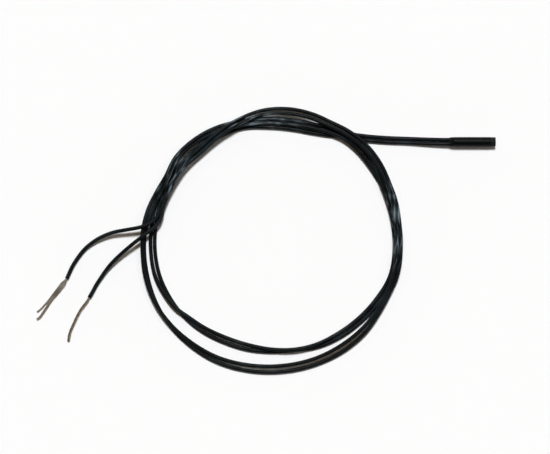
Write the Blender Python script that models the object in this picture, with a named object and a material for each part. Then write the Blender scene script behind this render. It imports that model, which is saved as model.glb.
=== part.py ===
"""Bead thermistor probe on a pair of insulated stranded leads.

A glass-coated bead is potted with black epoxy in a shrunk black sleeve. The probe lies on a table
along +X, with its tip at the +X end, and the pair of leads lies beside it in a loose coil of two
and a quarter turns. Each lead ends in bare tinned strands. Metres, +Z up, the table at z = 0, and
the origin under the middle of the probe.
"""

import math

import bmesh
import bpy
import numpy as np

MM = 0.001

# Leads and their strands
LEAD_DIAMETER = 0.0011
LAY_CLEARANCE = 0.00006
STRAND_DIAMETER = 0.0002
STRAND_CLEARANCE = 0.000012
STRAND_LAY = 0.0095
STRIP_GAP = 0.0001

# Shrunk sleeve, shrunk to just over the width of the pair
SLEEVE_WALL = 0.00015
SLEEVE_ROOM = 0.00007
SLEEVE_LENGTH = 0.0116
SHOULDER_LENGTH = 0.0008
LIP_LENGTH = 0.0004
LIP_WALL = 0.0001
SLEEVE_EDGE = 0.00004

# Potting
PLUG_LENGTH = 0.0014
PLUG_SETBACK = 0.00004
PLUG_EDGE = 0.00006
FIT_CLEARANCE = 0.00002

# Joints between the lead strands and the bead wires
STUB_LENGTH = 0.0016
STUB_DIAMETER = 0.0006
SOLDER_DIAMETER = 0.0008
SOLDER_LENGTH = 0.0013
SOLDER_GRIP = 0.0005
SOLDER_WAIST_DIAMETER = 0.00064
JOINT_SLEEVE_BORE = 0.00086
JOINT_SLEEVE_WALL = 0.00008
JOINT_SLEEVE_LENGTH = 0.0030
JOINT_SLEEVE_OFFSET = 0.0001

# Bead
BEAD_DIAMETER = 0.0008
BEAD_LENGTH = 0.0010
GLASS_WALL = 0.0003
BEAD_TIP_DEPTH = 0.0019
BEAD_WIRE_DIAMETER = 0.00015
BEAD_WIRE_SPACING = 0.00034
BEAD_WIRE_STRAIGHT = 0.0005
BEAD_WIRE_RUN = 0.00166
BEAD_WIRE_REACH = 0.00025

ROUND_SEGMENTS = 40
FINE_SEGMENTS = 20

# Coil of the pair: middle of the loop, in millimetres from the middle of the probe, the points to
# a turn and between points elsewhere, and the slope at which a lead rises over what it crosses
LOOP_CENTRE = (-57.23, -28.0)
TURN_POINTS = 28
FREE_STEP = 0.0036
HUMP_SLOPE = 0.14

# Limits of the settling of the coil
SETTLE_ROUNDS = 120
SETTLE_SAMPLES = 5
SETTLE_TOLERANCE = 0.000002
SAME_PASS_ANGLE = 90.0

# The pair from the sleeve to the loop: x, then y of lead a and of lead b, in millimetres
APPROACH = (
    (-12.6, 0.70, -0.49),
    (-19.5, 0.98, -0.21),
    (-23.5, 1.12, -0.07),
    (-26.3, 1.29, 0.10),
    (-29.2, 1.53, 0.34),
)

# Stations round the loop: turned angle in degrees, then the radius of lead a and of lead b in
# millimetres. The angle grows from +X towards +Y and runs on through each turn.
LOOP = (
    (50, 38.9, 37.5),
    (56, 36.9, 35.6),
    (62, 35.1, 33.9),
    (69, 33.95, 32.75),
    (78, 33.4, 32.2),
    (92, 33.45, 32.25),
    (105, 34.25, 33.05),
    (118, 34.15, 32.95),
    (132, 34.0, 32.8),
    (146, 34.15, 32.95),
    (158, 34.75, 33.55),
    (170, 34.55, 33.35),
    (185, 34.65, 33.45),
    (198, 34.75, 33.55),
    (208, 34.1, 33.4),
    (215, 33.5, 33.3),
    (222, 32.4, 33.1),
    (232, 31.5, 32.7),
    (245, 30.7, 32.1),
    (258, 30.6, 31.9),
    (270, 31.1, 31.8),
    (282, 31.8, 32.1),
    (293, 32.3, 33.1),
    (305, 32.6, 33.8),
    (318, 33.3, 34.5),
    (330, 34.15, 35.35),
    (343, 35.2, 36.4),
    (356, 35.05, 36.25),
    (370, 34.75, 35.95),
    (380, 34.8, 35.5),
    (388, 35.1, 34.9),
    (398, 36.15, 34.95),
    (406, 36.5, 35.3),
    (415, 36.65, 35.45),
    (422, 36.0, 34.8),
    (430, 35.15, 33.95),
    (442, 34.7, 33.5),
    (456, 34.75, 33.55),
    (466, 35.1, 33.9),
    (475, 35.65, 34.45),
    (486, 36.1, 35.2),
    (500, 36.1, 35.2),
    (509, 35.25, 34.05),
    (517, 35.55, 34.35),
    (526, 36.3, 35.1),
    (535, 36.8, 36.1),
    (545, 37.0, 36.5),
    (556, 37.5, 36.9),
    (570, 37.7, 37.6),
    (580, 37.5, 37.9),
    (592, 37.1, 38.0),
    (605, 36.8, 38.1),
    (620, 36.2, 37.8),
    (635, 35.9, 37.6),
    (650, 35.9, 37.6),
    (665, 35.9, 37.6),
    (676, 36.0, 37.4),
    (686, 36.0, 36.9),
    (696, 36.0, 36.8),
    (705, 35.95, 37.15),
    (716, 35.7, 36.9),
    (728, 35.55, 36.75),
    (738, 35.9, 37.1),
    (746, 36.1, 37.3),
    (754, 36.65, 37.85),
    (764, 37.0, 38.2),
    (776, 36.75, 37.95),
    (783, 36.4, 37.6),
    (791, 36.4, 37.75),
    (802, 36.35, 37.7),
    (813, 35.9, 37.1),
    (824, 34.6, 35.8),
    (836, 33.2, 34.4),
    (848, 32.1, 33.3),
    (860, 32.3, 33.3),
    (868, 32.25, 32.7),
    (876, 32.2, 32.2),
    (884, 32.2, 32.2),
)

# Free end of each lead after the loop: x and y in millimetres
TAIL_A = (
    (-87.7, -17.1),
    (-88.6, -19.4),
    (-89.6, -21.2),
    (-91.0, -22.6),
    (-92.7, -23.6),
    (-94.9, -24.4),
    (-97.6, -24.9),
    (-103.3, -26.1),
    (-107.0, -27.8),
    (-110.6, -30.6),
    (-112.6, -33.1),
    (-114.1, -35.5),
    (-115.7, -39.0),
)
TAIL_B = (
    (-87.6, -17.1),
    (-88.4, -19.7),
    (-88.8, -21.6),
    (-89.6, -23.2),
    (-91.0, -24.6),
    (-92.7, -25.9),
    (-94.6, -27.4),
    (-97.5, -29.7),
    (-100.3, -32.1),
    (-103.3, -35.1),
    (-105.0, -37.3),
    (-106.2, -39.1),
    (-107.3, -40.8),
    (-108.2, -42.5),
    (-109.3, -44.4),
)

# Bare end of lead a, where the strands lie side by side and part into two groups: the middle of
# them all, then the middle of each group, in millimetres
BARE_A = (
    (-116.4, -40.0),
    (-117.3, -41.2),
    (-118.2, -42.4),
    (-119.2, -43.7),
    (-120.1, -44.8),
)
GROUP_NEAR = (
    (-121.1, -45.8),
    (-122.2, -46.8),
    (-123.2, -47.8),
    (-124.2, -48.6),
)
GROUP_FAR = (
    (-120.8, -46.0),
    (-121.5, -47.3),
    (-122.4, -48.7),
    (-123.1, -49.7),
    (-123.6, -50.3),
    (-124.3, -50.7),
)

# Middle of the bare end of lead b, which keeps its lay, in millimetres
BARE_B = (
    (-109.6, -45.0),
    (-110.1, -45.8),
    (-110.8, -46.7),
    (-111.5, -47.6),
    (-112.1, -48.6),
    (-112.8, -49.9),
    (-113.4, -51.2),
    (-114.0, -52.5),
    (-114.6, -53.9),
    (-115.0, -55.3),
    (-115.2, -56.8),
)

# Each strand: its angle in the round bundle, none for the core strand, then its place across the
# strands laid side by side, in pitches from their middle
STRANDS = (
    (15, 3),
    (75, 1),
    (135, -2),
    (195, -3),
    (255, -1),
    (315, 2),
    (None, 0),
)
STRAND_POINTS = 17

# Lengths over which the strands come to lie side by side, sink to the table and part, and how far
# the lay of lead b has loosened
FAN_LENGTH = 0.0018
SINK_LENGTH = 0.0050
FORK_LENGTH = 0.0050
LOOSENING = 1.45


# Places worked out from the sizes
PROBE_LENGTH = SLEEVE_LENGTH + PLUG_LENGTH
REAR_X = -PROBE_LENGTH / 2
TIP_X = PROBE_LENGTH / 2
SLEEVE_FRONT_X = REAR_X + SLEEVE_LENGTH
SHOULDER_X = REAR_X + LIP_LENGTH + SHOULDER_LENGTH
LEAD_PITCH = LEAD_DIAMETER + LAY_CLEARANCE
LEAD_RADIUS = LEAD_DIAMETER / 2
SLEEVE_RADIUS = LEAD_PITCH / 2 + LEAD_RADIUS + SLEEVE_ROOM + SLEEVE_WALL
AXIS_Z = SLEEVE_RADIUS
BEAD_X = TIP_X - BEAD_TIP_DEPTH
GLASS_DIAMETER = BEAD_DIAMETER + 2 * (GLASS_WALL + FIT_CLEARANCE)
GLASS_LENGTH = BEAD_LENGTH + 2 * (GLASS_WALL + FIT_CLEARANCE)
WIRE_ARRIVE_X = BEAD_X - GLASS_LENGTH / 2 - BEAD_WIRE_STRAIGHT
WIRE_LEAVE_X = WIRE_ARRIVE_X - BEAD_WIRE_RUN
SOLDER_START_X = WIRE_LEAVE_X - JOINT_SLEEVE_LENGTH
SOLDER_END_X = SOLDER_START_X + SOLDER_LENGTH
STUB_END_X = SOLDER_START_X + SOLDER_GRIP
STUB_START_X = STUB_END_X - STUB_LENGTH
LEAD_END_X = STUB_START_X - FIT_CLEARANCE
STRAND_PITCH = STRAND_DIAMETER + STRAND_CLEARANCE


def clear_scene():
    for thing in list(bpy.data.objects):
        bpy.data.objects.remove(thing, do_unlink=True)


def finish_material(name, colour, roughness, metallic=0.0, transmission=0.0):
    material = bpy.data.materials.new(name)
    material.use_nodes = True
    shader = material.node_tree.nodes["Principled BSDF"]
    shader.inputs["Base Color"].default_value = (*colour, 1.0)
    shader.inputs["Roughness"].default_value = roughness
    shader.inputs["Metallic"].default_value = metallic
    shader.inputs["Transmission Weight"].default_value = transmission
    return material


def add_object(name, data, material):
    thing = bpy.data.objects.new(name, data)
    bpy.context.scene.collection.objects.link(thing)
    data.materials.append(material)
    return thing


def mesh_object(name, shape, material, smooth_angle=35.0):
    bmesh.ops.recalc_face_normals(shape, faces=shape.faces)
    mesh = bpy.data.meshes.new(name)
    shape.to_mesh(mesh)
    shape.free()
    mesh.shade_smooth()
    mesh.set_sharp_from_angle(angle=math.radians(smooth_angle))
    return add_object(name, mesh, material)


def turned(profile, segments, y=0.0):
    """A closed profile of (x, radius) turned about the probe's axis, or the axis shifted to y."""
    shape = bmesh.new()
    points = [shape.verts.new((x, y + radius, AXIS_Z)) for x, radius in profile]
    touches_axis = profile[0][1] == 0.0 and profile[-1][1] == 0.0
    edges = [shape.edges.new(pair) for pair in zip(points, points[1:])]
    if not touches_axis:
        edges.append(shape.edges.new((points[-1], points[0])))
    bmesh.ops.spin(
        shape,
        geom=points + edges,
        cent=(0.0, y, AXIS_Z),
        axis=(1.0, 0.0, 0.0),
        angle=math.tau,
        steps=segments,
        use_merge=True,
    )
    bmesh.ops.remove_doubles(shape, verts=shape.verts, dist=1e-9)
    return shape


def oval_profile(middle, length, diameter, steps=14):
    outline = []
    for step in range(steps + 1):
        angle = math.pi * step / steps
        outline.append((middle - length / 2 * math.cos(angle), diameter / 2 * math.sin(angle)))
    outline[0] = (middle - length / 2, 0.0)
    outline[-1] = (middle + length / 2, 0.0)
    return outline


def cut(thing, shape, name):
    """Cuts a closed shape out of an object and leaves the cutter as a hidden guide."""
    mesh = bpy.data.meshes.new(name)
    bmesh.ops.recalc_face_normals(shape, faces=shape.faces)
    shape.to_mesh(mesh)
    shape.free()
    cutter = bpy.data.objects.new(name, mesh)
    bpy.context.scene.collection.objects.link(cutter)
    cutter.hide_render = True
    cutter.display_type = "WIRE"
    boolean = thing.modifiers.new(name, "BOOLEAN")
    boolean.operation = "DIFFERENCE"
    boolean.solver = "EXACT"
    boolean.object = cutter


def rod(start, end, radius, y, segments=FINE_SEGMENTS):
    """A plain round bar along the probe, used as a piece or as a cutter."""
    return turned([(start, 0.0), (start, radius), (end, radius), (end, 0.0)], segments, y)


def ease(share):
    """A smooth step from 0 to 1."""
    share = np.clip(share, 0.0, 1.0)
    return share * share * (3 - 2 * share)


def hermite(knots, values, at):
    """A smooth curve through values at rising knots, read at the places given."""
    knots = np.asarray(knots, float)
    values = np.asarray(values, float)
    slopes = np.empty_like(values)
    steps = np.diff(knots)
    rises = np.diff(values, axis=0) / (steps[:, None] if values.ndim > 1 else steps)
    slopes[0] = rises[0]
    slopes[-1] = rises[-1]
    before = steps[:-1] / (steps[:-1] + steps[1:])
    if values.ndim > 1:
        before = before[:, None]
    slopes[1:-1] = rises[:-1] * (1 - before) + rises[1:] * before
    index = np.clip(np.searchsorted(knots, at, side="right") - 1, 0, len(knots) - 2)
    width = knots[index + 1] - knots[index]
    t = (at - knots[index]) / width
    if values.ndim > 1:
        t = t[:, None]
        width = width[:, None]
    return (
        values[index] * (2 * t**3 - 3 * t**2 + 1)
        + slopes[index] * width * (t**3 - 2 * t**2 + t)
        + values[index + 1] * (3 * t**2 - 2 * t**3)
        + slopes[index + 1] * width * (t**3 - t**2)
    )


def along(points):
    """Distance along a line at each of its points."""
    points = np.asarray(points, float)
    return np.concatenate(([0.0], np.cumsum(np.linalg.norm(np.diff(points, axis=0), axis=1))))


def smooth_line(points, step):
    """A smooth curve through points, read at even steps, both ends kept."""
    distance = along(points)
    count = max(2, int(round(distance[-1] / step)) + 1)
    return hermite(distance, points, np.linspace(0.0, distance[-1], count))


def loop_point(angle, radius):
    turn = math.radians(angle)
    return (
        (LOOP_CENTRE[0] + radius * math.cos(turn)) * MM,
        (LOOP_CENTRE[1] + radius * math.sin(turn)) * MM,
    )


def plan_of_lead(side, tail):
    """Plan of one lead: its points on the table, and the turned angle at each point."""
    column = 1 if side > 0 else 2
    y_in_sleeve = side * LEAD_PITCH / 2
    stations = [row[0] for row in LOOP]
    radii = [row[column] for row in LOOP]
    spacing = 360.0 / TURN_POINTS
    first = math.ceil(stations[0] / spacing)
    last = math.floor(stations[-1] / spacing)
    angles = np.arange(first, last + 1) * spacing
    loop = [loop_point(a, r) for a, r in zip(angles, hermite(stations, radii, angles))]

    straight = (LEAD_END_X, (LEAD_END_X + REAR_X) / 2, REAR_X, REAR_X - LEAD_DIAMETER)
    start = [(x, y_in_sleeve) for x in straight]
    approach = [(row[0] * MM, row[column] * MM) for row in APPROACH]
    run_in = smooth_line(start + approach + [loop[0], loop[1]], FREE_STEP)
    entry = np.linalg.norm(run_in - np.array(loop[0]), axis=1).argmin()
    run_in = run_in[: entry if entry > 0 else 1]

    free = [(x * MM, y * MM) for x, y in tail]
    run_out = smooth_line([loop[-2], loop[-1]] + free, FREE_STEP)
    leave = np.linalg.norm(run_out - np.array(loop[-1]), axis=1).argmin()
    run_out = run_out[leave + 1 :]

    plan = np.vstack((run_in, loop, run_out))
    turned_angle = np.concatenate(
        (np.full(len(run_in), angles[0]), angles, np.full(len(run_out), angles[-1]))
    )
    return plan, turned_angle


def laid_order(angle):
    """Later turns lie on earlier ones."""
    return angle // 360


def table_heights(plan):
    """Height that a lead has before anything lies under it: the sleeve's axis, then the table."""
    return np.where(plan[:, 0] > REAR_X - LEAD_DIAMETER, AXIS_Z, LEAD_RADIUS)


def ease_slopes(plan, heights):
    """Lengthens each rise to a long low hump."""
    steps = HUMP_SLOPE * np.diff(along(plan))
    for i in range(1, len(heights)):
        heights[i] = max(heights[i], heights[i - 1] - steps[i - 1])
    for i in range(len(heights) - 2, -1, -1):
        if plan[i, 0] < REAR_X:
            heights[i] = max(heights[i], heights[i + 1] - steps[i])


def sampled(plan, angle, heights):
    """Places between the points of a lead: plan, angle, height, point index and share."""
    share = np.arange(SETTLE_SAMPLES) / SETTLE_SAMPLES
    index = np.repeat(np.arange(len(plan) - 1), SETTLE_SAMPLES)
    share = np.tile(share, len(plan) - 1)
    mix = share[:, None]
    place = plan[index] * (1 - mix) + plan[index + 1] * mix
    turn = angle[index] * (1 - share) + angle[index + 1] * share
    height = heights[index] * (1 - share) + heights[index + 1] * share
    return place, turn, height, index, share


def settle(plans, angles):
    """Raises the points of both leads until each lies on what is under it, with no overlap."""
    heights = [table_heights(plan) for plan in plans]
    for _ in range(SETTLE_ROUNDS):
        worst = 0.0
        for plan, height in zip(plans, heights):
            ease_slopes(plan, height)
        parts = [sampled(p, a, h) for p, a, h in zip(plans, angles, heights)]
        place = np.vstack([part[0] for part in parts])
        turn = np.concatenate([part[1] for part in parts])
        level = np.concatenate([part[2] for part in parts])
        lead = np.repeat([1, 0], [len(part[1]) for part in parts])
        gap = np.linalg.norm(place[:, None] - place[None], axis=2)
        same_pass = np.abs(turn[:, None] - turn[None]) < SAME_PASS_ANGLE
        order = laid_order(turn)
        above = np.where(same_pass, lead[:, None] > lead[None], order[:, None] > order[None])
        near = above & (gap < LEAD_PITCH)
        rise = np.sqrt(np.maximum(LEAD_PITCH**2 - gap**2, 0.0))
        need = np.where(near, level[None] + rise - level[:, None], 0.0).max(axis=1)
        start = 0
        for height, part in zip(heights, parts):
            index, share = part[3], part[4]
            lack = need[start : start + len(index)]
            start += len(index)
            worst = max(worst, lack.max())
            weight = (1 - share) ** 2 + share**2
            lift = np.zeros(len(height))
            np.maximum.at(lift, index, lack * (1 - share) / weight)
            np.maximum.at(lift, index + 1, lack * share / weight)
            height += lift
        if worst < SETTLE_TOLERANCE:
            break
    return heights


def cord(name, points, diameter, material):
    """A plain round cord through points."""
    data = bpy.data.curves.new(name, "CURVE")
    data.dimensions = "3D"
    data.bevel_depth = diameter / 2
    data.bevel_resolution = 2
    data.use_fill_caps = True
    spline = data.splines.new("POLY")
    spline.points.add(len(points) - 1)
    for knot, place in zip(spline.points, points):
        knot.co = (*place, 1.0)
    return add_object(name, data, material)


def section_ring(shape, x, span, radius):
    """A ring of points round the axis: two half circles, span apart."""
    ring = []
    for step in range(ROUND_SEGMENTS):
        angle = math.tau * (step + 0.5) / ROUND_SEGMENTS
        side = math.copysign(span / 2, math.cos(angle))
        y = side + radius * math.cos(angle)
        ring.append(shape.verts.new((x, y, AXIS_Z + radius * math.sin(angle))))
    return ring


def skin(shape, rings):
    """Faces from each ring of points to the next."""
    for one, other in zip(rings, rings[1:]):
        for i in range(len(one)):
            ahead = (i + 1) % len(one)
            shape.faces.new((one[i], one[ahead], other[ahead], other[i]))


def sleeve_sections():
    """Outer and inner sections of the sleeve, from its front edge round to its front edge."""
    outer = SLEEVE_RADIUS
    inner = outer - SLEEVE_WALL
    lip_span = LEAD_PITCH
    lip_inner = LEAD_RADIUS + LAY_CLEARANCE
    lip_outer = lip_inner + LIP_WALL
    sections = [
        (SLEEVE_FRONT_X, 0.0, outer - SLEEVE_EDGE),
        (SLEEVE_FRONT_X - SLEEVE_EDGE, 0.0, outer),
        ((SLEEVE_FRONT_X + SHOULDER_X) / 2, 0.0, outer),
    ]
    shrink = [(0.0, 0.0), (0.18, 0.07), (0.4, 0.3), (0.6, 0.62), (0.8, 0.88), (1.0, 1.0)]
    for run, drop in shrink:
        x = SHOULDER_X - run * SHOULDER_LENGTH
        sections.append((x, drop * lip_span, outer + drop * (lip_outer - outer)))
    sections.append((REAR_X + SLEEVE_EDGE, lip_span, lip_outer))
    sections.append((REAR_X, lip_span, lip_outer - SLEEVE_EDGE))
    sections.append((REAR_X, lip_span, lip_inner))
    for run, drop in reversed(shrink):
        x = SHOULDER_X - run * SHOULDER_LENGTH
        sections.append((x, drop * lip_span, inner + drop * (lip_inner - inner)))
    sections.append(((SLEEVE_FRONT_X + SHOULDER_X) / 2, 0.0, inner))
    sections.append((SLEEVE_FRONT_X, 0.0, inner))
    return sections


def make_sleeve(material):
    """Shrunk tube, round over the probe and drawn down to a flat oval lip round the pair."""
    shape = bmesh.new()
    rings = [section_ring(shape, *section) for section in sleeve_sections()]
    skin(shape, rings + rings[:1])
    return mesh_object("probe_sleeve", shape, material)


def joint_cutters(y):
    """Room in the potting for one lead, its stripped end, its joint and its bead wire."""
    sleeve_start = LEAD_END_X + JOINT_SLEEVE_OFFSET
    sleeve_radius = JOINT_SLEEVE_BORE / 2 + JOINT_SLEEVE_WALL + FIT_CLEARANCE
    sleeve_end = sleeve_start + JOINT_SLEEVE_LENGTH + FIT_CLEARANCE
    lead_radius = LEAD_RADIUS + FIT_CLEARANCE
    outline = [
        (REAR_X, 0.0),
        (REAR_X, lead_radius),
        (LEAD_END_X + FIT_CLEARANCE, lead_radius),
        (LEAD_END_X + FIT_CLEARANCE, sleeve_radius),
        (sleeve_end, sleeve_radius),
        (sleeve_end, 0.0),
    ]
    return turned(outline, FINE_SEGMENTS, y)


def bead_wire_route(side):
    """From the solder joint, straight out and then in towards the bead."""
    y_joint = side * LEAD_PITCH / 2
    y_bead = side * BEAD_WIRE_SPACING / 2
    route = [(STUB_END_X + FIT_CLEARANCE, y_joint), (WIRE_LEAVE_X, y_joint)]
    for step in range(1, 8):
        share = step / 8
        y = y_joint + (y_bead - y_joint) * ease(share)
        route.append((WIRE_LEAVE_X + BEAD_WIRE_RUN * share, y))
    route.append((WIRE_ARRIVE_X, y_bead))
    route.append((BEAD_X + BEAD_WIRE_REACH, y_bead))
    return [(x, y, AXIS_Z) for x, y in route]


def wire_cutter(side):
    """A square-sided channel along one bead wire."""
    shape = bmesh.new()
    half = BEAD_WIRE_DIAMETER / 2 + FIT_CLEARANCE
    rings = []
    for x, y, z in bead_wire_route(side):
        corners = [(-half, -half), (half, -half), (half, half), (-half, half)]
        rings.append([shape.verts.new((x, y + dy, z + dz)) for dy, dz in corners])
    skin(shape, rings)
    shape.faces.new(rings[0][::-1])
    shape.faces.new(rings[-1])
    return shape


def make_potting(material):
    """Black epoxy that fills the sleeve and stands out of it as a square-cut plug."""
    bore = SLEEVE_RADIUS - SLEEVE_WALL - FIT_CLEARANCE
    plug = SLEEVE_RADIUS - PLUG_SETBACK
    back = SHOULDER_X + FIT_CLEARANCE
    step_x = SLEEVE_FRONT_X + FIT_CLEARANCE
    outline = [
        (back, 0.0),
        (back, bore),
        (step_x, bore),
        (step_x, plug),
        (TIP_X - PLUG_EDGE, plug),
        (TIP_X, plug - PLUG_EDGE),
        (TIP_X, 0.0),
    ]
    potting = mesh_object("potting_epoxy", turned(outline, ROUND_SEGMENTS), material)
    for side in (1, -1):
        cut(potting, joint_cutters(side * LEAD_PITCH / 2), f"room_for_joint_{side}")
        cut(potting, wire_cutter(side), f"room_for_wire_{side}")
    pocket = oval_profile(BEAD_X, GLASS_LENGTH + 2 * FIT_CLEARANCE, GLASS_DIAMETER + 2 * FIT_CLEARANCE)
    cut(potting, turned(pocket, FINE_SEGMENTS), "room_for_bead")


def make_bead(ceramic, glass, wire):
    """Sintered bead on its two fine wires, inside its coat of glass."""
    wire_room = BEAD_WIRE_DIAMETER / 2 + FIT_CLEARANCE
    y = BEAD_WIRE_SPACING / 2
    bead = mesh_object(
        "sensing_bead",
        turned(oval_profile(BEAD_X, BEAD_LENGTH, BEAD_DIAMETER), FINE_SEGMENTS),
        ceramic,
    )
    coat = mesh_object(
        "glass_coat",
        turned(oval_profile(BEAD_X, GLASS_LENGTH, GLASS_DIAMETER), FINE_SEGMENTS),
        glass,
    )
    room = oval_profile(BEAD_X, BEAD_LENGTH + 2 * FIT_CLEARANCE, BEAD_DIAMETER + 2 * FIT_CLEARANCE)
    cut(coat, turned(room, FINE_SEGMENTS), "room_in_glass")
    wire_end = BEAD_X + BEAD_WIRE_REACH + FIT_CLEARANCE
    for side in (1, -1):
        shape = rod(BEAD_X - GLASS_LENGTH, BEAD_X, wire_room, side * y, 12)
        cut(coat, shape, f"wire_hole_in_glass_{side}")
        shape = rod(BEAD_X - GLASS_LENGTH, wire_end, wire_room, side * y, 12)
        cut(bead, shape, f"wire_hole_in_bead_{side}")
        letter = "a" if side > 0 else "b"
        cord(f"bead_wire_{letter}", bead_wire_route(side), BEAD_WIRE_DIAMETER, wire)


def make_joint(letter, side, tinned, solder, tubing):
    """Stripped end of one lead, soldered to its bead wire inside a thin insulating tube."""
    y = side * LEAD_PITCH / 2
    stub = STUB_DIAMETER / 2
    mesh_object(
        f"conductor_stub_{letter}", rod(STUB_START_X, STUB_END_X, stub, y), tinned
    )
    stub_room = stub + FIT_CLEARANCE
    wire_room = BEAD_WIRE_DIAMETER / 2 + FIT_CLEARANCE
    full = SOLDER_DIAMETER / 2
    taper_x = STUB_END_X + (SOLDER_END_X - STUB_END_X) / 2
    fillet = [
        (SOLDER_START_X, stub_room),
        (SOLDER_START_X, stub_room + FIT_CLEARANCE),
        (SOLDER_START_X + SOLDER_GRIP / 2, full),
        (STUB_END_X, full),
        (taper_x, SOLDER_WAIST_DIAMETER / 2),
        (SOLDER_END_X, wire_room + FIT_CLEARANCE),
        (SOLDER_END_X, wire_room),
        (STUB_END_X + FIT_CLEARANCE, wire_room),
        (STUB_END_X + FIT_CLEARANCE, stub_room),
    ]
    mesh_object(f"solder_joint_{letter}", turned(fillet, FINE_SEGMENTS, y), solder)
    bore = JOINT_SLEEVE_BORE / 2
    start = LEAD_END_X + JOINT_SLEEVE_OFFSET
    end = start + JOINT_SLEEVE_LENGTH
    wall = bore + JOINT_SLEEVE_WALL
    tube = [(start, bore), (start, wall), (end, wall), (end, bore)]
    mesh_object(f"joint_sleeve_{letter}", turned(tube, FINE_SEGMENTS, y), tubing)


def bare_line(tail, bare):
    """Middle of a bare end, or of one group of its strands, from the cut insulation to the tip."""
    cut_end = np.array(tail[-1]) * MM
    before = np.array(tail[-2]) * MM
    ahead = (cut_end - before) / np.linalg.norm(cut_end - before)
    points = [cut_end + ahead * STRIP_GAP] + [np.array(place) * MM for place in bare]
    plan = smooth_line(points, along(points)[-1] / (STRAND_POINTS - 1))
    direction = np.gradient(plan, axis=0)
    direction /= np.linalg.norm(direction, axis=1)[:, None]
    across = np.column_stack((-direction[:, 1], direction[:, 0]))
    return plan, across, along(plan)


def fanned_strand(angle, place, start_height):
    """A strand of lead a, which comes to lie beside its neighbours and then leaves with its group."""
    far = place >= 0
    group = [row[1] for row in STRANDS if (row[1] >= 0) == far]
    plan, across, distance = bare_line(TAIL_A, BARE_A + (GROUP_FAR if far else GROUP_NEAR))
    laid = 0.0 if angle is None else STRAND_PITCH
    turn = math.radians(angle or 0)
    fan = ease(distance / FAN_LENGTH)
    sink = ease((distance - FAN_LENGTH) / SINK_LENGTH)
    fork_start = along(np.array(BARE_A) * MM)[-1]
    fork = ease((distance - fork_start) / FORK_LENGTH)
    flat_place = (place - fork * sum(group) / len(group)) * STRAND_PITCH
    side = (1 - fan) * laid * math.cos(turn) + fan * flat_place
    level = (1 - sink) * (start_height + laid * math.sin(turn)) + sink * STRAND_DIAMETER / 2
    return np.column_stack((plan + across * side[:, None], level))


def laid_strand(angle, start_height):
    """A strand of lead b, which keeps its turn about the core strand and loosens a little."""
    plan, across, distance = bare_line(TAIL_B, BARE_B)
    loosened = 1 + (LOOSENING - 1) * ease(distance / FAN_LENGTH)
    laid = 0.0 * distance if angle is None else STRAND_PITCH * loosened
    turn = math.radians(angle or 0) + math.tau * distance / STRAND_LAY
    low = STRAND_PITCH * LOOSENING + STRAND_DIAMETER / 2
    middle = start_height + (low - start_height) * ease(distance / SINK_LENGTH)
    side = laid * np.cos(turn)
    return np.column_stack((plan + across * side[:, None], middle + laid * np.sin(turn)))


def make_strands(height_a, height_b, material):
    """Seven strands at each cut end, each of its own."""
    for number, (angle, place) in enumerate(STRANDS, start=1):
        points = fanned_strand(angle, place, height_a)
        cord(f"strand_a_{number}", points, STRAND_DIAMETER, material)
        points = laid_strand(angle, height_b)
        cord(f"strand_b_{number}", points, STRAND_DIAMETER, material)


def build():
    clear_scene()
    jacket = finish_material("black_pvc", (0.016, 0.017, 0.019), 0.38)
    sleeve = finish_material("black_polyolefin", (0.02, 0.02, 0.022), 0.45)
    epoxy = finish_material("black_epoxy", (0.012, 0.012, 0.012), 0.6)
    ceramic = finish_material("sintered_oxide", (0.03, 0.028, 0.027), 0.7)
    glass = finish_material("bead_glass", (0.35, 0.42, 0.36), 0.1, transmission=0.8)
    tinned = finish_material("tinned_copper", (0.62, 0.6, 0.57), 0.35, metallic=1.0)
    solder = finish_material("solder", (0.6, 0.6, 0.6), 0.3, metallic=1.0)
    wire = finish_material("platinum_alloy", (0.65, 0.64, 0.62), 0.3, metallic=1.0)
    tubing = finish_material("polyimide", (0.45, 0.2, 0.04), 0.3)

    make_sleeve(sleeve)
    make_potting(epoxy)
    make_bead(ceramic, glass, wire)
    make_joint("a", 1, tinned, solder, tubing)
    make_joint("b", -1, tinned, solder, tubing)

    plan_a, angle_a = plan_of_lead(1, TAIL_A)
    plan_b, angle_b = plan_of_lead(-1, TAIL_B)
    height_a, height_b = settle([plan_a, plan_b], [angle_a, angle_b])
    cord("lead_a", np.column_stack((plan_a, height_a)), LEAD_DIAMETER, jacket)
    cord("lead_b", np.column_stack((plan_b, height_b)), LEAD_DIAMETER, jacket)
    make_strands(height_a[-1], height_b[-1], tinned)


build()
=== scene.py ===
"""Looks of a bead thermistor probe on a pair of black leads, lying coiled on a pale table.

The sizes and the leads' routes repeat the construction's own. The routes are read more finely here,
and the loop ends one station earlier, short of where the free ends begin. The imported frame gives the
potted tip and what is sealed inside the probe. Metres, +Z up, the table at z = 0, +X along the probe
to its tip.
"""

import math

import bmesh
import bpy
import numpy as np
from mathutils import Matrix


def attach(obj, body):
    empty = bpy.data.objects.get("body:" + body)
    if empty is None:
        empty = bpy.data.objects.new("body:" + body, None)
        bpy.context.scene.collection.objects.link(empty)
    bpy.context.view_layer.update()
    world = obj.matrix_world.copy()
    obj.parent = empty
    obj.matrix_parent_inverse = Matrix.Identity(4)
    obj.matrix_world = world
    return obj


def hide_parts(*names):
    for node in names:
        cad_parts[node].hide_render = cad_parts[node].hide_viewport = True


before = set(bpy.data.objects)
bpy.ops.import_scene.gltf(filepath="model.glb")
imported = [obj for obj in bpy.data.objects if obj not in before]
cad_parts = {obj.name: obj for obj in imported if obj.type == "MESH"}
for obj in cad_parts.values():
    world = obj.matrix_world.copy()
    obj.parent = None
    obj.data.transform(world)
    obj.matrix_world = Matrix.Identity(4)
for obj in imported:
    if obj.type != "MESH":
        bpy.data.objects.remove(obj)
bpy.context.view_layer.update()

MM = 0.001
CM = 0.01

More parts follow.
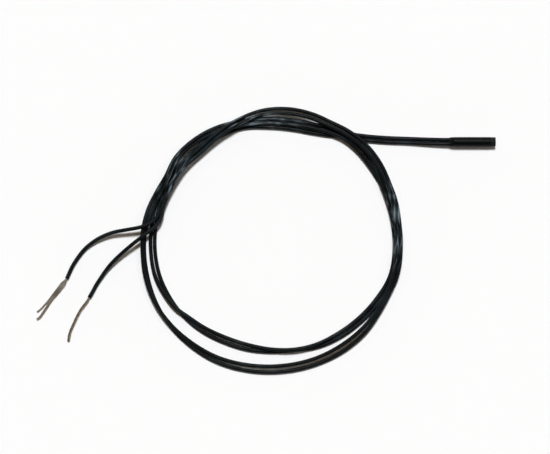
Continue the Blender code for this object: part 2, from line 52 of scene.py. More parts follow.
# Photograph's frame in pixels, the place of the probe's middle in it, and the size of one pixel
PHOTO_WIDTH = 550
PHOTO_HEIGHT = 454
PROBE_PIXEL = (472.6, 141.85)
PIXEL = 0.000285
CAMERA_HEIGHT = 0.8
SENSOR_WIDTH = 36.0

# Lamps: name, energy, angle across in degrees, colour, and how far it is turned in degrees
LAMPS = (
    ("soft lamp", 3.2, 11.0, (0.942, 0.975, 1.0), (-30.0, 0.0, 0.0)),
    ("side lamp", 0.15, 20.0, (0.8, 0.9, 1.0), (0.0, 38.0, 0.0)),
)

# Room round the table: its two sides, how far from its middle one gives way to the other, and the
# heights between which the white backdrop behind the table gives way to them
ROOM_LIT_SIDE = "#86765d"
ROOM_DIM_SIDE = "#231f19"
ROOM_BLEND = 0.35
BACKDROP = "#ffffff"
BACKDROP_TOP = (0.1, 0.2)
TABLE_COLOUR = "#fdfcfd"
TABLE_REACH = 12.0

# Leads and their strands
LEAD_DIAMETER = 0.0011
LAY_CLEARANCE = 0.00006
CONDUCTOR_BORE = 0.00066
STRIP_DEPTH = 0.0008
STRAND_DIAMETER = 0.0002
STRAND_CLEARANCE = 0.000012
STRAND_LAY = 0.0095
STRIP_GAP = 0.0001
LEAD_SIDES = 20
STRAND_SIDES = 10

# Cut end of the insulation: how deep its edge is rounded, and the share of its width left flat
RIM_DEPTH = 0.00003
RIM_FLAT = 0.94

# Edges turned by more than this many degrees stay sharp
LEAD_SHARP_ANGLE = 50.0
SLEEVE_SHARP_ANGLE = 40.0

# Probe: SLEEVE_HOLD is how far behind the front the sleeve's body begins, and SHOULDER_START is the
# share of the shoulder at which its first ring lies
SLEEVE_WALL = 0.00015
SLEEVE_ROOM = 0.00007
SLEEVE_LENGTH = 0.0116
SHOULDER_LENGTH = 0.0008
LIP_LENGTH = 0.0004
LIP_WALL = 0.0001
SLEEVE_EDGE = 0.00005
SLEEVE_HOLD = 0.0002
SHOULDER_START = 0.06
SLEEVE_SIDES = 96
SLEEVE_RINGS = 16
MERGE_DISTANCE = 1e-8
PLUG_LENGTH = 0.0014
LEAD_ENTRY = 0.0040

REAR_X = -(SLEEVE_LENGTH + PLUG_LENGTH) / 2
LEAD_END_X = REAR_X + LEAD_ENTRY
LEAD_PITCH = LEAD_DIAMETER + LAY_CLEARANCE
LEAD_RADIUS = LEAD_DIAMETER / 2
SLEEVE_RADIUS = LEAD_PITCH / 2 + LEAD_RADIUS + SLEEVE_ROOM + SLEEVE_WALL
AXIS_Z = SLEEVE_RADIUS
STRAND_PITCH = STRAND_DIAMETER + STRAND_CLEARANCE

# How finely the leads are read: points in a turn of the loop, how many of them each end run is led
# by, and the step along the end runs
TURN_POINTS = 240
JOIN_POINTS = 8
FREE_STEP = 0.0009

# How steeply a lead comes down from what it lies on: round the loop, between two turned angles
# where the outermost pass makes one long hump, and at its free end
LOOP_SLOPE = 0.075
LONG_SLOPE = 0.03
LONG_HUMP = (600.0, 712.0)
TAIL_SLOPE = 0.15

# How the leads settle on each other: places within this many degrees are on the same pass
SAME_PASS_ANGLE = 90.0
SETTLE_ROUNDS = 160
SETTLE_TOLERANCE = 0.000004
SMOOTHED_OVER = 9

# Stretches of the coil where pale streaks are painted on the leads as highlights: the middle of each,
# and how far it reaches. The painted highlights fade out over the last share of that reach, set below.
HIGHLIGHT_PLACES = (
    ((-0.0222, -0.0225, 0.001), (0.0038, 0.015, 0.01)),
    ((-0.0855, -0.0085, 0.001), (0.0075, 0.0095, 0.01)),
    ((-0.0610, 0.0058, 0.001), (0.0150, 0.0028, 0.01)),
)
HIGHLIGHT_FADE = 0.5

# Patterns on a lead's surface. With this many round it, the painted highlight streaks are about 0.7 mm
# wide and 4 mm long. The die lines are about 0.06 mm apart, which is coarser than real ones, to show at
# all.
HIGHLIGHT_STREAKS_ROUND = 5.0
HIGHLIGHT_STREAKS_IN_CM = 2.4
DIE_LINES_ROUND = 60.0
DIE_LINES_IN_CM = 4.0

# Span of a noise pattern that is stretched to its full range, and the spans over which the painted
# sheen and the painted highlight streaks come in
PATTERN_LOW = 0.3
PATTERN_HIGH = 0.7
PAINTED_SHEEN_SPAN = (0.5, 0.75)
HIGHLIGHT_STREAK_SPAN = (0.5, 0.68)

# Sockets of a Mix node's two colours and of the colour that it gives
MIX_ONE = 6
MIX_OTHER = 7
MIX_RESULT = 2

# Middle of the loop in millimetres
LOOP_CENTRE = (-57.23, -28.0)

# The pair from the sleeve to the loop: x, then y of lead a and of lead b, in millimetres
APPROACH = (
    (-12.6, 0.70, -0.49),
    (-19.5, 0.98, -0.21),
    (-23.5, 1.12, -0.07),
    (-26.3, 1.29, 0.10),
    (-29.2, 1.53, 0.34),
)

# Stations round the loop: turned angle in degrees, then the radius of lead a and of lead b in
# millimetres. The angle grows from +X towards +Y and runs on through each turn.
LOOP = (
    (50, 38.9, 37.5),
    (56, 36.9, 35.6),
    (62, 35.1, 33.9),
    (69, 33.95, 32.75),
    (78, 33.4, 32.2),
    (92, 33.45, 32.25),
    (105, 34.25, 33.05),
    (118, 34.15, 32.95),
    (132, 34.0, 32.8),
    (146, 34.15, 32.95),
    (158, 34.75, 33.55),
    (170, 34.55, 33.35),
    (185, 34.65, 33.45),
    (198, 34.75, 33.55),
    (208, 34.1, 33.4),
    (215, 33.5, 33.3),
    (222, 32.4, 33.1),
    (232, 31.5, 32.7),
    (245, 30.7, 32.1),
    (258, 30.6, 31.9),
    (270, 31.1, 31.8),
    (282, 31.8, 32.1),
    (293, 32.3, 33.1),
    (305, 32.6, 33.8),
    (318, 33.3, 34.5),
    (330, 34.15, 35.35),
    (343, 35.2, 36.4),
    (356, 35.05, 36.25),
    (370, 34.75, 35.95),
    (380, 34.8, 35.5),
    (388, 35.1, 34.9),
    (398, 36.15, 34.95),
    (406, 36.5, 35.3),
    (415, 36.65, 35.45),
    (422, 36.0, 34.8),
    (430, 35.15, 33.95),
    (442, 34.7, 33.5),
    (456, 34.75, 33.55),
    (466, 35.1, 33.9),
    (475, 35.65, 34.45),
    (486, 36.1, 35.2),
    (500, 36.1, 35.2),
    (509, 35.25, 34.05),
    (517, 35.55, 34.35),
    (526, 36.3, 35.1),
    (535, 36.8, 36.1),
    (545, 37.0, 36.5),
    (556, 37.5, 36.9),
    (570, 37.7, 37.6),
    (580, 37.5, 37.9),
    (592, 37.1, 38.0),
    (605, 36.8, 38.1),
    (620, 36.2, 37.8),
    (635, 35.9, 37.6),
    (650, 35.9, 37.6),
    (665, 35.9, 37.6),
    (676, 36.0, 37.4),
    (686, 36.0, 36.9),
    (696, 36.0, 36.8),
    (705, 35.95, 37.15),
    (716, 35.7, 36.9),
    (728, 35.55, 36.75),
    (738, 35.9, 37.1),
    (746, 36.1, 37.3),
    (754, 36.65, 37.85),
    (764, 37.0, 38.2),
    (776, 36.75, 37.95),
    (783, 36.4, 37.6),
    (791, 36.4, 37.75),
    (802, 36.35, 37.7),
    (813, 35.9, 37.1),
    (824, 34.6, 35.8),
    (836, 33.2, 34.4),
    (848, 32.1, 33.3),
    (860, 32.3, 33.3),
    (868, 32.25, 32.7),
    (876, 32.2, 32.2),
)

# Free end of each lead after the loop: x and y in millimetres
TAIL_A = (
    (-87.7, -17.1),
    (-88.6, -19.4),
    (-89.6, -21.2),
    (-91.0, -22.6),
    (-92.7, -23.6),
    (-94.9, -24.4),
    (-97.6, -24.9),
    (-103.3, -26.1),
    (-107.0, -27.8),
    (-110.6, -30.6),
    (-112.6, -33.1),
    (-114.1, -35.5),
    (-115.7, -39.0),
)
TAIL_B = (
    (-87.6, -17.1),
    (-88.4, -19.7),
    (-88.8, -21.6),
    (-89.6, -23.2),
    (-91.0, -24.6),
    (-92.7, -25.9),
    (-94.6, -27.4),
    (-97.5, -29.7),
    (-100.3, -32.1),
    (-103.3, -35.1),
    (-105.0, -37.3),
    (-106.2, -39.1),
    (-107.3, -40.8),
    (-108.2, -42.5),
    (-109.3, -44.4),
)

# Bare end of lead a, where the strands lie side by side and part into two groups: the middle of
# them all, then the middle of each group, in millimetres
BARE_A = (
    (-116.4, -40.0),
    (-117.3, -41.2),
    (-118.2, -42.4),
    (-119.2, -43.7),
    (-120.1, -44.8),
)
GROUP_NEAR = (
    (-121.1, -45.8),
    (-122.2, -46.8),
    (-123.2, -47.8),
    (-124.2, -48.6),
)
GROUP_FAR = (
    (-120.8, -46.0),
    (-121.5, -47.3),
    (-122.4, -48.7),
    (-123.1, -49.7),
    (-123.6, -50.3),
    (-124.3, -50.7),
)

# Middle of the bare end of lead b, which keeps its lay, in millimetres
BARE_B = (
    (-109.6, -45.0),
    (-110.1, -45.8),
    (-110.8, -46.7),
    (-111.5, -47.6),
    (-112.1, -48.6),
    (-112.8, -49.9),
    (-113.4, -51.2),
    (-114.0, -52.5),
    (-114.6, -53.9),
    (-115.0, -55.3),
    (-115.2, -56.8),
)

# Each strand: its angle in the round bundle, none for the core strand, then its place across the
# strands laid side by side, in pitches from their middle
STRANDS = (
    (15, 3),
    (75, 1),
    (135, -2),
    (195, -3),
    (255, -1),
    (315, 2),
    (None, 0),
)
STRAND_POINTS = 60

# Lengths over which the strands come to lie side by side, sink to the table and part, and how far
# the lay of lead b has loosened
FAN_LENGTH = 0.0018
SINK_LENGTH = 0.0050
FORK_LENGTH = 0.0050
LOOSENING = 1.45


def clear_curve(knots, values, at):
    """A smooth curve through values at rising knots, read at the places given."""
    knots = np.asarray(knots, float)
    values = np.asarray(values, float)
    column = (slice(None), None) if values.ndim > 1 else slice(None)
    steps = np.diff(knots)
    rises = np.diff(values, axis=0) / steps[column]
    before = (steps[:-1] / (steps[:-1] + steps[1:]))[column]
    slopes = np.empty_like(values)
    slopes[0] = rises[0]
    slopes[-1] = rises[-1]
    slopes[1:-1] = rises[:-1] * (1 - before) + rises[1:] * before
    index = np.clip(np.searchsorted(knots, at, side="right") - 1, 0, len(knots) - 2)
    width = (knots[index + 1] - knots[index])[column]
    t = (at - knots[index])[column] / width
    return (
        values[index] * (2 * t**3 - 3 * t**2 + 1)
        + slopes[index] * width * (t**3 - 2 * t**2 + t)
        + values[index + 1] * (3 * t**2 - 2 * t**3)
        + slopes[index + 1] * width * (t**3 - t**2)
    )


def along(points):
    """Distance along a line at each of its points."""
    points = np.asarray(points, float)
    return np.concatenate(([0.0], np.cumsum(np.linalg.norm(np.diff(points, axis=0), axis=1))))


def smooth_line(points, step):
    """A smooth curve through points, read at even steps, both ends kept."""
    distance = along(points)
    count = max(2, int(round(distance[-1] / step)) + 1)
    return clear_curve(distance, points, np.linspace(0.0, distance[-1], count))


def ease(share):
    """A smooth step from 0 to 1."""
    share = np.clip(share, 0.0, 1.0)
    return share * share * (3 - 2 * share)


def evened(line, window):
    """A line of heights with its corners rounded over a few points, its ends kept."""
    spread = np.hanning(window + 2)[1:-1]
    padded = np.pad(line, window // 2, mode="edge")
    return np.convolve(padded, spread / spread.sum(), mode="valid")


def loop_point(angle, radius):
    turn = math.radians(angle)
    return (
        (LOOP_CENTRE[0] + radius * math.cos(turn)) * MM,
        (LOOP_CENTRE[1] + radius * math.sin(turn)) * MM,
    )


def plan_of_lead(side, tail):
    """Plan of one lead: its points on the table, and the turned angle at each point."""
    column = 1 if side > 0 else 2
    y_in_sleeve = side * LEAD_PITCH / 2
    stations = [row[0] for row in LOOP]
    radii = [row[column] for row in LOOP]
    spacing = 360.0 / TURN_POINTS
    angles = np.arange(math.ceil(stations[0] / spacing), math.floor(stations[-1] / spacing)) * spacing
    loop = [loop_point(a, r) for a, r in zip(angles, clear_curve(stations, radii, angles))]
    straight = (LEAD_END_X, (LEAD_END_X + REAR_X) / 2, REAR_X, REAR_X - LEAD_DIAMETER)
    start = [(x, y_in_sleeve) for x in straight]
    approach = [(row[0] * MM, row[column] * MM) for row in APPROACH]
    run_in = smooth_line(start + approach + [loop[0], loop[JOIN_POINTS]], FREE_STEP)
    entry = np.linalg.norm(run_in - np.array(loop[0]), axis=1).argmin()
    free = [(x * MM, y * MM) for x, y in tail]
    run_out = smooth_line([loop[-1 - JOIN_POINTS], loop[-1]] + free, FREE_STEP)
    leave = np.linalg.norm(run_out - np.array(loop[-1]), axis=1).argmin()
    plan = np.vstack((run_in[:entry], loop, run_out[leave + 1 :]))
    before = np.full(entry, angles[0])
    after = np.full(len(run_out) - leave - 1, angles[-1])
    return plan, np.concatenate((before, angles, after))


def ease_slopes(plan, turn, heights):
    """Lengthens each rise to a long low hump, longest where a pass springs out to the side."""
    slope = np.where(turn[1:] < turn[-1], LOOP_SLOPE, TAIL_SLOPE)
    slope[(turn[1:] > LONG_HUMP[0]) & (turn[1:] < LONG_HUMP[1])] = LONG_SLOPE
    steps = slope * np.diff(along(plan))
    for i in range(1, len(heights)):
        heights[i] = max(heights[i], heights[i - 1] - steps[i - 1])
    for i in range(len(heights) - 2, -1, -1):
        if plan[i, 0] < REAR_X:
            heights[i] = max(heights[i], heights[i + 1] - steps[i])


def settle(plans, angles):
    """Raises both leads until each lies on what is under it, then rounds their humps."""
    heights = [np.where(p[:, 0] > REAR_X - LEAD_DIAMETER, AXIS_Z, LEAD_RADIUS) for p in plans]
    counts = [len(plan) for plan in plans]
    place = np.vstack(plans)
    turn = np.concatenate(angles)
    lead = np.repeat([1, 0], counts)
    gap = np.linalg.norm(place[:, None] - place[None], axis=2)
    same_pass = np.abs(turn[:, None] - turn[None]) < SAME_PASS_ANGLE
    order = turn // 360
    above = np.where(same_pass, lead[:, None] > lead[None], order[:, None] > order[None])
    over, under = np.nonzero(above & (gap < LEAD_PITCH))
    rise = np.sqrt(LEAD_PITCH**2 - gap[over, under] ** 2)
    for _ in range(SETTLE_ROUNDS):
        for plan, angle, height in zip(plans, angles, heights):
            ease_slopes(plan, angle, height)
        level = np.concatenate(heights)
        need = level.copy()
        np.maximum.at(need, over, level[under] + rise)
        heights = np.split(need, [counts[0]])
        if (need - level).max() < SETTLE_TOLERANCE:
            break
    return [np.maximum(evened(h, SMOOTHED_OVER), LEAD_RADIUS) for h in heights]


def bare_line(tail, bare):
    """Middle of a bare end, or of one group of its strands, from the cut insulation to the tip."""
    cut_end = np.array(tail[-1]) * MM
    before = np.array(tail[-2]) * MM
    ahead = (cut_end - before) / np.linalg.norm(cut_end - before)
    points = [cut_end + ahead * STRIP_GAP] + [np.array(place) * MM for place in bare]
    plan = smooth_line(points, along(points)[-1] / (STRAND_POINTS - 1))
    direction = np.gradient(plan, axis=0)
    direction /= np.linalg.norm(direction, axis=1)[:, None]
    across = np.column_stack((-direction[:, 1], direction[:, 0]))
    return plan, across, along(plan)


def fanned_strand(angle, place, start_height):
    """A strand of lead a, which comes to lie beside its neighbours and then leaves with its group."""
    far = place >= 0
    group = [row[1] for row in STRANDS if (row[1] >= 0) == far]
    plan, across, distance = bare_line(TAIL_A, BARE_A + (GROUP_FAR if far else GROUP_NEAR))
    laid = 0.0 if angle is None else STRAND_PITCH
    turn = math.radians(angle or 0)
    fan = ease(distance / FAN_LENGTH)
    sink = ease((distance - FAN_LENGTH) / SINK_LENGTH)
    fork_start = along(np.array(BARE_A) * MM)[-1]
    fork = ease((distance - fork_start) / FORK_LENGTH)
    flat_place = (place - fork * sum(group) / len(group)) * STRAND_PITCH
    side = (1 - fan) * laid * math.cos(turn) + fan * flat_place
    level = (1 - sink) * (start_height + laid * math.sin(turn)) + sink * STRAND_DIAMETER / 2
    return np.column_stack((plan + across * side[:, None], level))


def laid_strand(angle, start_height):
    """A strand of lead b, which keeps its turn about the core strand and loosens a little."""
    plan, across, distance = bare_line(TAIL_B, BARE_B)
    loosened = 1 + (LOOSENING - 1) * ease(distance / FAN_LENGTH)
    laid = 0.0 * distance if angle is None else STRAND_PITCH * loosened
    turn = math.radians(angle or 0) + math.tau * distance / STRAND_LAY
    low = STRAND_PITCH * LOOSENING + STRAND_DIAMETER / 2
    middle = start_height + (low - start_height) * ease(distance / SINK_LENGTH)
    side = laid * np.cos(turn)
    return np.column_stack((plan + across * side[:, None], middle + laid * np.sin(turn)))


def linear(code):
    """A colour written as sRGB hex, as the linear values that a shader takes."""
    values = [int(code[i : i + 2], 16) / 255 for i in (1, 3, 5)]
    return [v / 12.92 if v <= 0.04045 else ((v + 0.055) / 1.055) ** 2.4 for v in values] + [1.0]


def add_node(tree, kind, settings=None, inputs=None):
    """Adds a node, sets its own settings, and fills its inputs with values or links."""
    node = tree.nodes.new(kind)
    for name, value in (settings or {}).items():
        setattr(node, name, value)
    for name, value in (inputs or {}).items():
        if isinstance(value, bpy.types.NodeSocket):
            tree.links.new(value, node.inputs[name])
        else:
            node.inputs[name].default_value = value
    return node


def new_finish(name, **values):
    """A material and its shader, with the values that are the same all over."""
    material = bpy.data.materials.new(name)
    material.use_nodes = True
    shader = material.node_tree.nodes["Principled BSDF"]
    for socket, value in values.items():
        shader.inputs[socket.replace("_", " ")].default_value = value
    return material, material.node_tree, shader


def grain(tree, size, detail=2.0, stretch=(1.0, 1.0, 1.0), coordinates="Object"):
    """Noise whose grains are about the given size in metres."""
    place = add_node(tree, "ShaderNodeTexCoord").outputs[coordinates]
    mapping = add_node(tree, "ShaderNodeMapping", inputs={"Vector": place, "Scale": stretch})
    noise = add_node(
        tree,
        "ShaderNodeTexNoise",
        inputs={"Vector": mapping.outputs[0], "Scale": 1 / size, "Detail": detail},
    )
    return noise.outputs["Fac"]


def toned(tree, shader, pattern, tones, roughness):
    """Lets the surface's own colour and roughness follow one pattern, each between two values."""
    tone = add_node(
        tree,
        "ShaderNodeMix",
        {"data_type": "RGBA"},
        {"Factor": pattern, MIX_ONE: linear(tones[0]), MIX_OTHER: linear(tones[1])},
    )
    rough = add_node(
        tree,
        "ShaderNodeMapRange",
        {"clamp": True},
        {
            "Value": pattern,
            "From Min": PATTERN_LOW,
            "From Max": PATTERN_HIGH,
            "To Min": roughness[0],
            "To Max": roughness[1],
        },
    )
    tree.links.new(tone.outputs[MIX_RESULT], shader.inputs["Base Color"])
    tree.links.new(rough.outputs["Result"], shader.inputs["Roughness"])


def painted_over(tree, shader, where, colour):
    """Paints a pale colour over the surface's own colour where it is given: a painted sheen or a
    painted highlight.
    """
    under = shader.inputs["Base Color"].links[0].from_socket
    pale_paint = add_node(
        tree,
        "ShaderNodeMix",
        {"data_type": "RGBA"},
        {"Factor": where, MIX_ONE: under, MIX_OTHER: linear(colour)},
    )
    tree.links.new(pale_paint.outputs[MIX_RESULT], shader.inputs["Base Color"])


def highlight_stretches(tree):
    """1 along the stretches where highlights are painted on the leads, and 0 away from them."""
    place = add_node(tree, "ShaderNodeTexCoord").outputs["Object"]
    most = 0.0
    for middle, reach in HIGHLIGHT_PLACES:
        inputs = {"Vector": place, "Location": middle, "Scale": reach}
        in_stretch = add_node(tree, "ShaderNodeMapping", {"vector_type": "TEXTURE"}, inputs).outputs[0]
        near = add_node(tree, "ShaderNodeTexGradient", {"gradient_type": "SPHERICAL"}, {"Vector": in_stretch})
        inputs = {0: near.outputs["Fac"], 1: most}
        most = add_node(tree, "ShaderNodeMath", {"operation": "MAXIMUM"}, inputs).outputs[0]
    inputs = {"Value": most, "From Max": HIGHLIGHT_FADE}
    return add_node(tree, "ShaderNodeMapRange", {"clamp": True}, inputs).outputs["Result"]


def black_pvc():
    """Flexible PVC, drawn through a die: near black, with a low sheen, faint die lines along it, a
    painted faint sheen as a thin pale film in patches, and painted highlights as pale streaks in a few
    stretches."""
    material, tree, shader = new_finish(
        "black flexible PVC insulation", IOR=1.5, Specular_IOR_Level=0.1
    )
    toned(tree, shader, grain(tree, 1.6 * MM, 3.0), ("#040708", "#0a1012"), (0.6, 0.4))
    # Painted sheen: a thin pale film in random patches over the near-black colour.
    inputs = {"Value": grain(tree, 8.0 * MM), "From Min": PAINTED_SHEEN_SPAN[0], "From Max": PAINTED_SHEEN_SPAN[1]}
    painted_sheen = add_node(tree, "ShaderNodeMapRange", {"clamp": True}, inputs)
    painted_over(tree, shader, painted_sheen.outputs["Result"], "#1d2529")
    # Painted highlight: pale streaks along the lead, only in the stretches where highlights are painted
    # on.
    streak_pattern = grain(tree, 1.0, 3.0, (HIGHLIGHT_STREAKS_ROUND, HIGHLIGHT_STREAKS_IN_CM, 1.0), "UV")
    inputs = {"Value": streak_pattern, "From Min": HIGHLIGHT_STREAK_SPAN[0], "From Max": HIGHLIGHT_STREAK_SPAN[1]}
    streaks = add_node(tree, "ShaderNodeMapRange", {"clamp": True}, inputs)
    inputs = {0: streaks.outputs["Result"], 1: highlight_stretches(tree)}
    painted_highlight = add_node(tree, "ShaderNodeMath", {"operation": "MULTIPLY"}, inputs)
    painted_over(tree, shader, painted_highlight.outputs[0], "#6d7a82")
    lines = grain(tree, 1.0, 2.0, (DIE_LINES_ROUND, DIE_LINES_IN_CM, 1.0), "UV")
    relief = add_node(tree, "ShaderNodeBump", inputs={"Height": lines, "Distance": 0.006 * MM})
    tree.links.new(relief.outputs["Normal"], shader.inputs["Normal"])
    return material


def shrunk_polyolefin():
    """Heat-shrunk polyolefin tube: a dull satin, with a slight orange peel from its heating."""
    material, tree, shader = new_finish(
        "black shrunk polyolefin tube", IOR=1.5, Specular_IOR_Level=0.08
    )
    toned(tree, shader, grain(tree, 2.2 * MM), ("#030404", "#080a0b"), (0.56, 0.46))
    peel = grain(tree, 0.35 * MM, 2.0, (0.5, 1.0, 1.0))
    relief = add_node(tree, "ShaderNodeBump", inputs={"Height": peel, "Distance": 0.02 * MM})
    tree.links.new(relief.outputs["Normal"], shader.inputs["Normal"])
    return material


def cast_epoxy():
    """Filled potting epoxy: dull black, a shade greyer than the tube, with a sanded grain, which is
    drawn coarser than real grit so that it shows."""
    material, tree, shader = new_finish("black potting epoxy", IOR=1.5, Specular_IOR_Level=0.15)
    grit = grain(tree, 0.12 * MM, 3.0)
    toned(tree, shader, grit, ("#0b0f0e", "#1a201e"), (0.66, 0.82))
    relief = add_node(tree, "ShaderNodeBump", inputs={"Height": grit, "Distance": 0.012 * MM})
    tree.links.new(relief.outputs["Normal"], shader.inputs["Normal"])
    return material


def tinned_copper(name, tones):
    """Tin-plated copper strand: warm grey, dulled and browner in patches where the tin has worn."""
    material, tree, shader = new_finish(name, Metallic=1.0)
    toned(tree, shader, grain(tree, 0.6 * MM, 3.0), tones, (0.55, 0.35))
    scratches = grain(tree, 0.06 * MM)
    relief = add_node(tree, "ShaderNodeBump", inputs={"Height": scratches, "Distance": 0.004 * MM})
    tree.links.new(relief.outputs["Normal"], shader.inputs["Normal"])
    return material


def plain_finish(name, tones, roughness, size, **values):
    """A finish for the small sealed pieces: two close tones and a nearly even roughness."""
    material, tree, shader = new_finish(name, **values)
    toned(tree, shader, grain(tree, size, 3.0), tones, roughness)
    return material


def skin_over(rings, sides, close=True):
    """Draws a circle from ring to ring. Each ring gives the places of its points by side."""
    shape = bmesh.new()
    bmesh.ops.create_circle(shape, segments=sides, radius=1.0)
    side_of = shape.verts.layers.int.new("side")
    ring_of = shape.verts.layers.int.new("ring")
    circle = list(shape.verts)
    for number, vert in enumerate(circle):
        vert[side_of] = number
    edges = list(shape.edges)
    for number, ring in enumerate(rings):
        if number:
            drawn = bmesh.ops.extrude_edge_only(shape, edges=edges)["geom"]
            circle = [part for part in drawn if isinstance(part, bmesh.types.BMVert)]
            fresh = set(circle)
            edges = [
                part
                for part in drawn
                if isinstance(part, bmesh.types.BMEdge) and set(part.verts) <= fresh
            ]
        elif close:
            first_edges = list(edges)
        for vert in circle:
            vert[ring_of] = number
            vert.co = ring[vert[side_of]]
    if close:
        bmesh.ops.contextual_create(shape, geom=first_edges)
        bmesh.ops.contextual_create(shape, geom=edges)
    return shape


def finished(name, shape, material, sharp_angle):
    """Turns a shape into a piece that rides on the root body."""
    bmesh.ops.recalc_face_normals(shape, faces=shape.faces)
    mesh = bpy.data.meshes.new(name)
    shape.to_mesh(mesh)
    shape.free()
    mesh.shade_smooth()
    mesh.set_sharp_from_angle(angle=math.radians(sharp_angle))
    mesh.materials.append(material)
    piece = bpy.data.objects.new(name, mesh)
    bpy.context.scene.collection.objects.link(piece)
    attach(piece, "root")
    return piece


def tube_rings(points, radius, sides):
    """Rings square to a line of points, which never stands upright."""
    ahead = np.gradient(points, axis=0)
    ahead /= np.linalg.norm(ahead, axis=1)[:, None]
    across = np.cross(ahead, (0.0, 0.0, 1.0))
    across /= np.linalg.norm(across, axis=1)[:, None]
    up = np.cross(across, ahead)
    turn = np.arange(sides) * math.tau / sides
    ring = np.cos(turn)[:, None, None] * across + np.sin(turn)[:, None, None] * up
    return np.swapaxes(points + ring * radius, 0, 1)


def unrolled(shape, length_of_ring, sides):
    """A UV map: turns round the tube across, and centimetres along it up."""
    side_of = shape.verts.layers.int["side"]
    ring_of = shape.verts.layers.int["ring"]
    unroll = shape.loops.layers.uv.new("unrolled")
    for face in shape.faces:
        wraps = {v[side_of] for v in face.verts} >= {0, sides - 1} and len(face.verts) == 4
        for loop in face.loops:
            side = loop.vert[side_of]
            turn = 1.0 if wraps and side == 0 else side / sides
            loop[unroll].uv = (turn, length_of_ring[loop.vert[ring_of]] / CM)


def make_lead(letter, points, material):
    """Insulation of one lead, hollow where the strands leave it."""
    rings = list(tube_rings(points, LEAD_RADIUS, LEAD_SIDES))
    end = points[-1]
    back = points[-2] - end
    back /= np.linalg.norm(back)
    bore = CONDUCTOR_BORE / LEAD_DIAMETER
    cut_end = ((0.0, RIM_FLAT), (0.0, bore), (STRIP_DEPTH, bore))
    rim = rings[-1]
    rings[-1] = rim + back * RIM_DEPTH
    for depth, share in cut_end:
        rings.append(end + (rim - end) * share + back * depth)
    shape = skin_over(rings, LEAD_SIDES)
    distance = list(along(points))
    unrolled(shape, distance + distance[-1:] * len(cut_end), LEAD_SIDES)
    lead = finished(f"lead_{letter}_insulation", shape, material, LEAD_SHARP_ANGLE)
    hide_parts(f"lead_{letter}")


def make_strand(name, points, material):
    """One bare strand, from the cut end of the insulation to its tip."""
    shape = skin_over(tube_rings(points, STRAND_DIAMETER / 2, STRAND_SIDES), STRAND_SIDES)
    strand = finished(f"{name}_wire", shape, material, LEAD_SHARP_ANGLE)
    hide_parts(name)
    return strand


def sleeve_ring(x, span, radius, sides):
    """Points of a flat oval round the axis: two half circles, span apart."""
    places = []
    for step in range(sides):
        angle = math.tau * (step + 0.5) / sides
        y = math.copysign(span / 2, math.cos(angle)) + radius * math.cos(angle)
        places.append((x, y, AXIS_Z + radius * math.sin(angle)))
    return places


def make_sleeve(material):
    """Shrunk tube, round over the probe and drawn down to a flat oval lip round the pair."""
    outer = SLEEVE_RADIUS
    inner = outer - SLEEVE_WALL
    lip_inner = LEAD_RADIUS + LAY_CLEARANCE
    lip_outer = lip_inner + LIP_WALL
    front = REAR_X + SLEEVE_LENGTH
    shoulder = REAR_X + LIP_LENGTH + SHOULDER_LENGTH
    edge = SLEEVE_EDGE
    rings = [(front, 0.0, inner), (front, 0.0, outer - edge), (front - edge, 0.0, outer)]
    for x in np.linspace(front - SLEEVE_HOLD, shoulder, SLEEVE_RINGS):
        rings.append((x, 0.0, outer))
    for run in np.linspace(SHOULDER_START, 1.0, SLEEVE_RINGS):
        drop = float(ease(run))
        radius = outer + drop * (lip_outer - outer)
        rings.append((shoulder - run * SHOULDER_LENGTH, drop * LEAD_PITCH, radius))
    rings.append((REAR_X + edge, LEAD_PITCH, lip_outer))
    rings.append((REAR_X, LEAD_PITCH, lip_outer - edge))
    rings.append((REAR_X, LEAD_PITCH, lip_inner))
    rings.append((REAR_X + LIP_LENGTH, LEAD_PITCH, lip_inner))
    rings.append((shoulder, 0.0, inner))
    rings.append((front - edge, 0.0, inner))
    rings = [sleeve_ring(*ring, SLEEVE_SIDES) for ring in rings]
    shape = skin_over(rings + rings[:1], SLEEVE_SIDES, close=False)
    bmesh.ops.remove_doubles(shape, verts=shape.verts, dist=MERGE_DISTANCE)
    sleeve = finished("probe_shrunk_sleeve", shape, material, SLEEVE_SHARP_ANGLE)
    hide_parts("probe_sleeve")


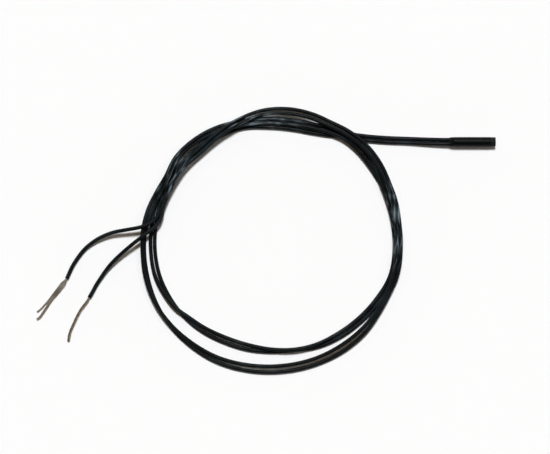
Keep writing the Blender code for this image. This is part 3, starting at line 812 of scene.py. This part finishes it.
def light_and_camera():
    """Soft light from the top of the picture, and a camera looking straight down."""
    scene = bpy.context.scene
    scene.view_settings.view_transform = "Standard"
    for name, energy, angle, colour, turn in LAMPS:
        light = bpy.data.lights.new(name, "SUN")
        light.energy = energy
        light.angle = math.radians(angle)
        light.color = colour
        lamp = bpy.data.objects.new(name, light)
        lamp.rotation_euler = [math.radians(value) for value in turn]
        scene.collection.objects.link(lamp)

    world = bpy.data.worlds.new("dim warm room")
    world.use_nodes = True
    scene.world = world
    tree = world.node_tree
    toward = add_node(tree, "ShaderNodeTexCoord").outputs["Generated"]
    parts = add_node(tree, "ShaderNodeSeparateXYZ", inputs={"Vector": toward}).outputs
    inputs = {"Value": parts["Y"], "From Min": -ROOM_BLEND, "From Max": ROOM_BLEND}
    lit_side = add_node(tree, "ShaderNodeMapRange", {"clamp": True}, inputs).outputs["Result"]
    inputs = {"Factor": lit_side, MIX_ONE: linear(ROOM_DIM_SIDE), MIX_OTHER: linear(ROOM_LIT_SIDE)}
    room = add_node(tree, "ShaderNodeMix", {"data_type": "RGBA"}, inputs).outputs[MIX_RESULT]
    inputs = {"Value": parts["Z"], "From Min": BACKDROP_TOP[0], "From Max": BACKDROP_TOP[1]}
    above = add_node(tree, "ShaderNodeMapRange", {"clamp": True}, inputs).outputs["Result"]
    inputs = {"Factor": above, MIX_ONE: linear(BACKDROP), MIX_OTHER: room}
    around = add_node(tree, "ShaderNodeMix", {"data_type": "RGBA"}, inputs).outputs[MIX_RESULT]
    tree.links.new(around, tree.nodes["Background"].inputs["Color"])

    lens = bpy.data.cameras.new("camera")
    lens.sensor_width = SENSOR_WIDTH
    lens.lens = SENSOR_WIDTH * (CAMERA_HEIGHT - LEAD_DIAMETER) / (PHOTO_WIDTH * PIXEL)
    camera = bpy.data.objects.new("camera", lens)
    camera.location = (
        (PHOTO_WIDTH / 2 - PROBE_PIXEL[0]) * PIXEL,
        (PROBE_PIXEL[1] - PHOTO_HEIGHT / 2) * PIXEL,
        CAMERA_HEIGHT,
    )
    scene.collection.objects.link(camera)
    scene.camera = camera


def make_floor():
    """White table top, matt enough to show no reflection."""
    colour = linear(TABLE_COLOUR)
    finish = new_finish("white matt table", Base_Color=colour, Roughness=0.9, Specular_IOR_Level=0.0)
    shape = bmesh.new()
    bmesh.ops.create_grid(shape, x_segments=1, y_segments=1, size=TABLE_REACH)
    mesh = bpy.data.meshes.new("table")
    shape.to_mesh(mesh)
    shape.free()
    mesh.materials.append(finish[0])
    table = bpy.data.objects.new("table", mesh)
    bpy.context.scene.collection.objects.link(table)


light_and_camera()
make_floor()

pvc = black_pvc()
tin = tinned_copper("tinned copper strand", ("#857b6d", "#cdc5b8"))
# Lead b's strands take a darker, browner copy of the tin.
darker_tin = tinned_copper("darker tinned copper strand", ("#6f6250", "#a69a86"))
plan_a, angle_a = plan_of_lead(1, TAIL_A)
plan_b, angle_b = plan_of_lead(-1, TAIL_B)
height_a, height_b = settle([plan_a, plan_b], [angle_a, angle_b])
for number, (angle, place) in enumerate(STRANDS, start=1):
    wire = fanned_strand(angle, place, height_a[-1])
    make_strand(f"strand_a_{number}", wire, tin)
    wire = laid_strand(angle, height_b[-1])
    make_strand(f"strand_b_{number}", wire, darker_tin)
make_lead("a", np.column_stack((plan_a, height_a)), pvc)
make_lead("b", np.column_stack((plan_b, height_b)), pvc)
make_sleeve(shrunk_polyolefin())

# Finishes of the construction's own pieces, by how their names begin. All but the first are sealed
# inside the probe.
probe_finishes = {
    "potting_epoxy": cast_epoxy(),
    "sensing_bead": plain_finish("sintered oxide", ("#1c1a19", "#2c2927"), (0.6, 0.72), 0.05 * MM),
    "glass_coat": plain_finish(
        "sealing glass", ("#9fb0a2", "#b4c4b6"), (0.05, 0.17), 0.3 * MM, Transmission_Weight=0.9
    ),
    "bead_wire": plain_finish(
        "platinum alloy wire", ("#b5b2ad", "#d2cfca"), (0.2, 0.32), 0.1 * MM, Metallic=1.0
    ),
    "solder_joint": plain_finish(
        "bright solder", ("#a9a9a8", "#c9c9c7"), (0.2, 0.32), 0.2 * MM, Metallic=1.0
    ),
    "joint_sleeve": plain_finish("amber polyimide", ("#a5580f", "#b96a1c"), (0.2, 0.32), 0.4 * MM),
    "conductor_stub": tin,
}
for name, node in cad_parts.items():
    for family, material in probe_finishes.items():
        if name.startswith(family):
            node.data.materials.clear()
            node.data.materials.append(material)
